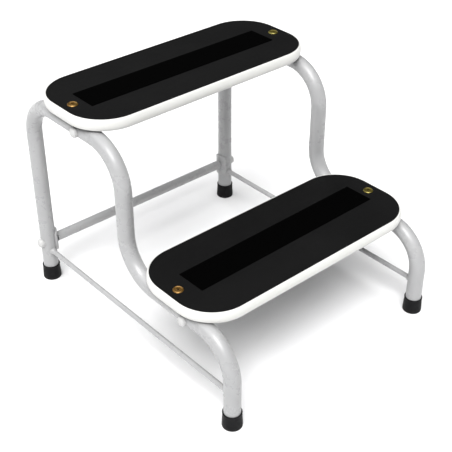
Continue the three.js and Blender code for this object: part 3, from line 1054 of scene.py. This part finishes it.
@dataclass
class Spreader:
    """A cross tube with, at each end, a curved saddle and a capped bolt."""

    name: str
    tube_node: str
    tube_along: Vector
    saddle_half: float = 20 * MM
    saddle_half_deg: float = 60.0
    saddle_oval: float = 20.5 * MM
    hug: float = 12.85 * MM
    edge: float = 0.9 * MM
    wall: float = 1.2 * MM
    ease: float = 0.3 * MM
    sides: int = 48
    saddle_steps: int = 20
    cap_bore: float = 6 * MM
    cap_roof: float = 2 * MM
    cap_gap: float = 0.1 * MM

    def build(self, bench: Workbench) -> None:
        """Makes the tube, saddles and caps, and dresses the hidden hardware.

        Args:
            bench: where pieces are made.
        """
        bench.piece(f"{self.tube_node}_cut", self._tube(), Slot.PAINT, self.tube_node)
        for side in Side:
            end = f"{self.name}_{side.word}"
            bench.piece(f"{end}_saddle_plate", self._saddle(side), Slot.PAINT, f"{end}_saddle")
            bench.piece(f"{end}_domed_cap", self._cap(side), Slot.CAP, f"{end}_bolt_cap")
            bench.dress_solid(f"{end}_insert", Slot.ZINC)
            bench.dress_solid(f"{end}_bolt", Slot.ZINC)

    def _tube(self) -> Skin:
        """The cross tube, cut square, its ends lightly eased.

        Returns:
            Its skin.
        """
        low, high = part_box(self.tube_node)
        centre = (low + high) / 2
        radius = (high.z - low.z) / 2
        half = (high.x - low.x) / 2
        ease = self.ease
        bore = radius - self.wall
        rim = [(bore, half - ease), (bore + ease, half), (radius - ease, half), (radius, half - ease)]
        profile = [(r, -x) for r, x in rim] + rim[::-1]
        return turned(Axis(centre, Vector((1, 0, 0))), profile, self.sides, loops=True)

    def _frame_axis(self, side: Side) -> Vector:
        """Where the bolt crosses the middle of the side tube.

        Args:
            side: which end.

        Returns:
            The place.
        """
        centre = middle(self.tube_node)
        tube = middle(f"{side.word}_side_frame")
        return Vector((tube.x, centre.y, centre.z))

    def _saddle(self, side: Side) -> Skin:
        """An oval plate wrapped on to the side tube, its rim rounded.

        Args:
            side: which end.

        Returns:
            Its skin.
        """
        low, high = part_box(f"{self.name}_{side.word}_saddle")
        centre = self._frame_axis(side)
        outer = max(abs(low.x - centre.x), abs(high.x - centre.x))
        inward = Vector((-side.value, 0, 0))
        across = self.tube_along.cross(inward)
        half = math.radians(self.saddle_half_deg)
        rings = []
        for i in range(-self.saddle_steps, self.saddle_steps + 1):
            turn = half * math.sin(math.pi / 2 * i / self.saddle_steps)
            spoke = inward * math.cos(turn) + across * math.sin(turn)
            oval = math.sqrt(self.saddle_oval**2 - (outer * math.sin(turn)) ** 2)
            tall = min(oval, self.saddle_half)
            from_end = (half - abs(turn)) * outer
            section = self._saddle_section(tall, outer, from_end)
            rings.append([centre + spoke * reach + self.tube_along * height for height, reach in section])
        return Skin(rings)

    def _saddle_section(self, tall: float, outer: float, from_end: float) -> list[Point]:
        """The plate's cut along the side tube.

        Args:
            tall: half its length here.
            outer: distance of its outer face from the side tube's centre.
            from_end: how far this cut is from the nearer side edge.

        Returns:
            Height and distance of each point, inner face first.
        """
        sunk = self.edge - math.sqrt(max(self.edge**2 - max(self.edge - from_end, 0.0) ** 2, 0.0))
        face = outer - sunk
        rounds = [math.radians(d) for d in (0, 30, 60, 90)]
        rim = [(tall - self.edge * (1 - math.cos(r)), face - self.edge * (1 - math.sin(r))) for r in rounds]
        inner = [(tall * i / 8, self.hug) for i in range(-8, 9)]
        back = [((tall - self.edge) * i / 8, face) for i in range(7, -8, -1)]
        return inner + rim + back + [(-height, reach) for height, reach in reversed(rim)]

    def _cap(self, side: Side) -> Skin:
        """A domed cap whose skirt follows the side tube.

        Args:
            side: which end.

        Returns:
            Its skin.
        """
        low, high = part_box(f"{self.name}_{side.word}_bolt_cap")
        centre = self._frame_axis(side)
        outward = Vector((side.value, 0, 0))
        top = max(abs(low.x - centre.x), abs(high.x - centre.x))
        radius = (high.z - low.z) / 2
        bore, roof = self.cap_bore, top - self.cap_roof
        axis = Axis(centre, outward)
        across = self.tube_along.cross(outward)
        profile = filleted(
            [
                (radius, 0.0, 0.0),
                (radius, top - 5.2 * MM, 0.5 * MM),
                (radius - 0.35 * MM, top - 4.4 * MM, 0.5 * MM),
                (radius - 0.55 * MM, top - 2.9 * MM, 1.6 * MM),
                (0.62 * radius, top - 0.75 * MM, 3.0 * MM),
                (0.0, top, 0.0),
            ],
            steps=6,
        )
        skirts = []
        for reach in (bore, radius):
            lifted = []
            for p in axis.ring(reach, 0.0, self.sides):
                off = (p - centre).dot(across)
                rise = math.sqrt(max(self.hug**2 - off**2, 0.0)) + self.cap_gap
                lifted.append(p + outward * rise)
            skirts.append(lifted)
        dome = [axis.ring(r, h, self.sides) for r, h in profile[1:]]
        return Skin([[centre + outward * roof], axis.ring(bore, roof, self.sides), *skirts, *dome])


# ---- treads


@dataclass
class Tread:
    """A board edged in vinyl, with an anti-slip strip and two brass screws."""

    name: str
    seed: int
    corner: float = 61.4 * MM
    seam: float = 0.5 * MM
    screw_turns_deg: Point = (20.0, 62.0)
    strip_depth: float = 50 * MM
    strip_turn_deg: float = 0.0
    strip_cuts: int = 120
    fray_mm: float = 0.12
    grit_mm: float = 0.10

    def build(self, bench: Workbench) -> None:
        """Makes the board, edging, strip and fixings.

        Args:
            bench: where pieces are made.
        """
        name = self.name
        bench.piece(f"{name}_faced_board", self._board(), Slot.BOARD, f"{name}_board")
        bench.piece(f"{name}_edge_moulding", self._edging(), Slot.EDGING, f"{name}_edging")
        bench.piece(f"{name}_tape", self._strip(), Slot.TAPE, f"{name}_grip_strip")
        for side, turn in zip(Side, self.screw_turns_deg):
            node = f"{name}_{side.word}"
            bench.piece(f"{node}_dished_washer", self._washer(side), Slot.BRASS, f"{node}_cup_washer")
            screw = bench.piece(f"{node}_cross_screw", self._screw(side), Slot.BRASS, f"{node}_screw")
            bench.carve(screw, self._recess(side, turn))
            bench.dress_solid(f"{node}_rivet_nut", Slot.ZINC)

    def _board(self) -> Skin:
        """The board, its top and bottom edges just eased.

        Returns:
            Its skin.
        """
        low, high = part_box(f"{self.name}_board")
        size = high - low
        steps = [(2.0, 0.0), (0.55, 0.0), (0.22, 0.09), (0.05, 0.28), (0.0, 0.6)]
        rows = [(inset * MM, -down * MM) for inset, down in steps]
        rows += [(inset, -size.z - down) for inset, down in reversed(rows)]
        centre = Vector(((low.x + high.x) / 2, (low.y + high.y) / 2, high.z))
        rings = []
        for inset, height in rows:
            outline = rounded_outline(size.x - 2 * inset, size.y - 2 * inset, self.corner - inset)
            rings.append([centre + Vector((x, y, height)) for x, y in outline])
        return Skin(rings)

    def _edging(self) -> Skin:
        """The domed moulding, swept round from a butt joint at the middle of the back.

        Returns:
            Its skin.
        """
        board_low, board_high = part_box(f"{self.name}_board")
        low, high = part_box(f"{self.name}_edging")
        size = board_high - board_low
        half = (high.z - low.z) / 2
        out = high.x - board_high.x
        back = size.x / 2 - self.corner - self.seam / 2
        path = Bender(self.seam / 2, size.y / 2, 0.0)
        short, long = size.y - 2 * self.corner, size.x - 2 * self.corner
        for straight in (back, short, long, short):
            path.ahead(straight, 0.05).bend(self.corner, -90)
        path.ahead(back, 0.05)
        centre = (board_low + board_high) / 2
        section = self._edging_section(half, out)
        rings = []
        for at in path.stations:
            left_x, left_y = at.left()
            rings.append([centre + Vector((at.x + a * left_x, at.y + a * left_y, b)) for a, b in section])
        return Skin(rings)

    @staticmethod
    def _edging_section(half: float, out: float, steps: int = 22) -> list[Point]:
        """The moulding's cut: a domed face with a small flat lip top and bottom.

        Args:
            half: half its thickness.
            out: how far it stands out.
            steps: facets on the domed face.

        Returns:
            Out and up of each point.
        """
        root = 0.08 * MM
        lip = 0.35 * MM
        turns = [math.radians(-90 + 180 * i / steps) for i in range(steps + 1)]
        face = [(root + lip + (out - root - lip) * math.cos(t), half * math.sin(t)) for t in turns]
        below = [(root, -half + 0.2 * MM), (root + 0.15 * MM, -half)]
        above = [(root + 0.15 * MM, half), (root, half - 0.2 * MM)]
        return below + face + above

    def _strip(self) -> Skin:
        """The strip, stuck down a little askew, its top slightly uneven with grit.

        Returns:
            Its skin.
        """
        low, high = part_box(f"{self.name}_grip_strip")
        turn = math.radians(self.strip_turn_deg)
        depth = self.strip_depth
        length = ((high.x - low.x) - depth * math.sin(turn)) / math.cos(turn)
        centre = (low + high) / 2
        thick = high.z - low.z
        dice = random.Random(self.seed)
        section = [(-1.0, 0.0), (-1.0, 0.8), (-0.995, 0.97)]
        section += [(-0.98 + 1.96 * i / 24, 1.0) for i in range(25)]
        section += [(0.995, 0.97), (1.0, 0.8), (1.0, 0.0)]
        cos, sin = math.cos(turn), math.sin(turn)
        rings = []
        for i in range(self.strip_cuts + 1):
            x = -length / 2 + length * i / self.strip_cuts
            fray = dice.uniform(-self.fray_mm, 0.0) * MM
            ring = []
            for across, up in section:
                grit = dice.uniform(-self.grit_mm, 0.0) * MM if up == 1.0 else 0.0
                y = across * (depth / 2 + fray)
                z = -thick / 2 + up * thick + grit
                ring.append(centre + Vector((x * cos - y * sin, x * sin + y * cos, z)))
            rings.append(ring)
        return Skin(rings)

    def _screw_axis(self, side: Side) -> Axis:
        """Up through a screw, from the top of the board.

        Args:
            side: which screw.

        Returns:
            The axis.
        """
        board_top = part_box(f"{self.name}_board")[1].z
        centre = middle(f"{self.name}_{side.word}_screw")
        return Axis(Vector((centre.x, centre.y, board_top)), Vector((0, 0, 1)))

    def _washer(self, side: Side) -> Skin:
        """A dished washer, its rolled rim standing round the screw head.

        Args:
            side: which screw.

        Returns:
            Its skin.
        """
        profile = filleted(
            [(3.9, 0.1, 0.0), (8.1, 0.1, 0.1), (8.05, 0.5, 0.25), (7.0, 1.6, 0.8)]
            + [(6.45, 1.9, 0.3), (5.95, 1.55, 0.2), (3.9, 0.4, 0.0)]
        )
        return turned(self._screw_axis(side), [(r * MM, h * MM) for r, h in profile], 56, loops=True)

    def _screw(self, side: Side) -> Skin:
        """A countersunk screw, its head sunk in the washer.

        Args:
            side: which screw.

        Returns:
            Its skin.
        """
        profile = filleted(
            [(0.0, -31.0, 0.0), (2.4, -31.0, 0.2), (3.0, -30.0, 0.3), (3.0, 0.3, 0.4)]
            + [(4.95, 1.45, 0.12), (4.75, 1.56, 0.2), (2.6, 1.66, 1.5), (0.0, 1.69, 0.0)]
        )
        return turned(self._screw_axis(side), [(r * MM, h * MM) for r, h in profile], 48)

    def _recess(self, side: Side, turn_deg: float) -> list[Skin]:
        """The tapered arms of the cross recess.

        Args:
            side: which screw.
            turn_deg: how far the screw was turned home.

        Returns:
            Two cutters.
        """
        axis = self._screw_axis(side)
        arms = []
        for extra in (0, 90):
            turn = math.radians(turn_deg + extra)
            along = Vector((math.cos(turn), math.sin(turn), 0))
            wide = Vector((-math.sin(turn), math.cos(turn), 0))
            rings = []
            for height, length, width in ((-2.2, 1.3, 0.8), (1.9, 2.5, 1.15)):
                base = axis.origin + axis.along * height * MM
                corners = ((1, 1), (-1, 1), (-1, -1), (1, -1))
                rings.append([base + along * a * length * MM + wide * b * width * MM for a, b in corners])
            arms.append(Skin(rings))
        return arms


# ---- studio


def direction(azimuth_deg: float, elevation_deg: float) -> Vector:
    """The direction from the stool towards a place in the studio.

    Args:
        azimuth_deg: 0 straight in front of the steps, positive to the user's right.
        elevation_deg: above the floor.

    Returns:
        A unit vector.
    """
    azimuth, elevation = math.radians(azimuth_deg), math.radians(elevation_deg)
    level = math.cos(elevation)
    return Vector((math.sin(azimuth) * level, -math.cos(azimuth) * level, math.sin(elevation)))


@dataclass(frozen=True)
class SoftLight:
    """A broad far-off light, as even over the floor as a large studio bank."""

    name: str
    azimuth_deg: float
    elevation_deg: float
    spread_deg: float
    strength: float

    def hang(self) -> None:
        """Adds the light to the scene."""
        lamp = bpy.data.lights.new(self.name, "SUN")
        lamp.angle = math.radians(self.spread_deg)
        lamp.energy = self.strength * math.pi
        hung = placed(self.name, lamp)
        towards = direction(self.azimuth_deg, self.elevation_deg)
        hung.rotation_euler = (-towards).to_track_quat("-Z", "Y").to_euler()


@dataclass
class Studio:
    """Pale paper, soft lights and the camera."""

    sky: float = 0.03
    azimuth_deg: float = -41.21
    elevation_deg: float = 34.29
    eye: tuple[float, float, float] = (-0.8381, -0.9520, 0.9975)
    lens_mm: float = 76.33
    sensor_mm: float = 36.0
    paper_half: float = 30.0
    paper_cells: int = 24
    lights: tuple[SoftLight, ...] = (
        SoftLight("key", -45.0, 58.0, 34.0, 1.00),
        SoftLight("left", -110.0, 58.0, 50.0, 0.42),
        SoftLight("front", 0.0, 58.0, 45.0, 0.20),
        SoftLight("low_left", -60.0, 35.0, 40.0, 0.18),
        SoftLight("top_right", 60.0, 75.0, 40.0, 0.22),
        SoftLight("rear", -175.0, 42.0, 45.0, 0.26),
    )

    def build(self) -> None:
        """Lays the paper, lights it and sets the camera."""
        self._paper()
        self._sky()
        for light in self.lights:
            light.hang()
        self._camera()
        bpy.context.scene.view_settings.view_transform = "Standard"

    def _paper(self) -> None:
        """A large sheet of studio paper under the feet."""
        cells, row = self.paper_cells, self.paper_cells + 1
        steps = [-self.paper_half + 2 * self.paper_half * i / cells for i in range(row)]
        mesh = bpy.data.meshes.new("studio_paper")
        points = [(x, y, 0.0) for y in steps for x in steps]
        corners = [r * row + c for r in range(cells) for c in range(cells)]
        faces = [(i, i + 1, i + row + 1, i + row) for i in corners]
        mesh.from_pydata(points, [], faces)
        mesh.materials.append(StudioPaper().material())
        paper = placed("studio_paper", mesh)

    def _sky(self) -> None:
        """An even pale surround."""
        world = bpy.data.worlds.new("surround")
        world.use_nodes = True
        background = world.node_tree.nodes["Background"]
        background.inputs["Color"].default_value = (1.0, 1.0, 1.0, 1.0)
        background.inputs["Strength"].default_value = self.sky
        bpy.context.scene.world = world

    def _camera(self) -> None:
        """Stands the camera where it looks down on the left front corner."""
        lens = bpy.data.cameras.new("camera")
        lens.lens = self.lens_mm
        lens.sensor_width = self.sensor_mm
        camera = placed("camera", lens)
        back = direction(self.azimuth_deg, self.elevation_deg)
        camera.location = self.eye
        camera.rotation_euler = (-back).to_track_quat("-Z", "Y").to_euler()
        bpy.context.scene.camera = camera


def main() -> None:
    """Builds the stool piece by piece, then the studio round it."""
    logging.basicConfig(level=logging.INFO, format="%(name)s: %(message)s")
    bench = Workbench(Finishes())
    for side in Side:
        SideFrame(side).build(bench)
    for name, tube, along in (
        ("rear", "rear_brace_tube", Vector((0, 0, 1))),
        ("upper", "upper_spreader_tube", Vector((0, 1, 0))),
        ("lower", "lower_spreader_tube", Vector((0, 1, 0))),
    ):
        Spreader(name, tube, along).build(bench)
    Tread("upper", seed=3).build(bench)
    Tread("lower", seed=5, screw_turns_deg=(48.0, 5.0), strip_turn_deg=0.6).build(bench)
    Studio().build()


if __name__ == "__main__":
    main()
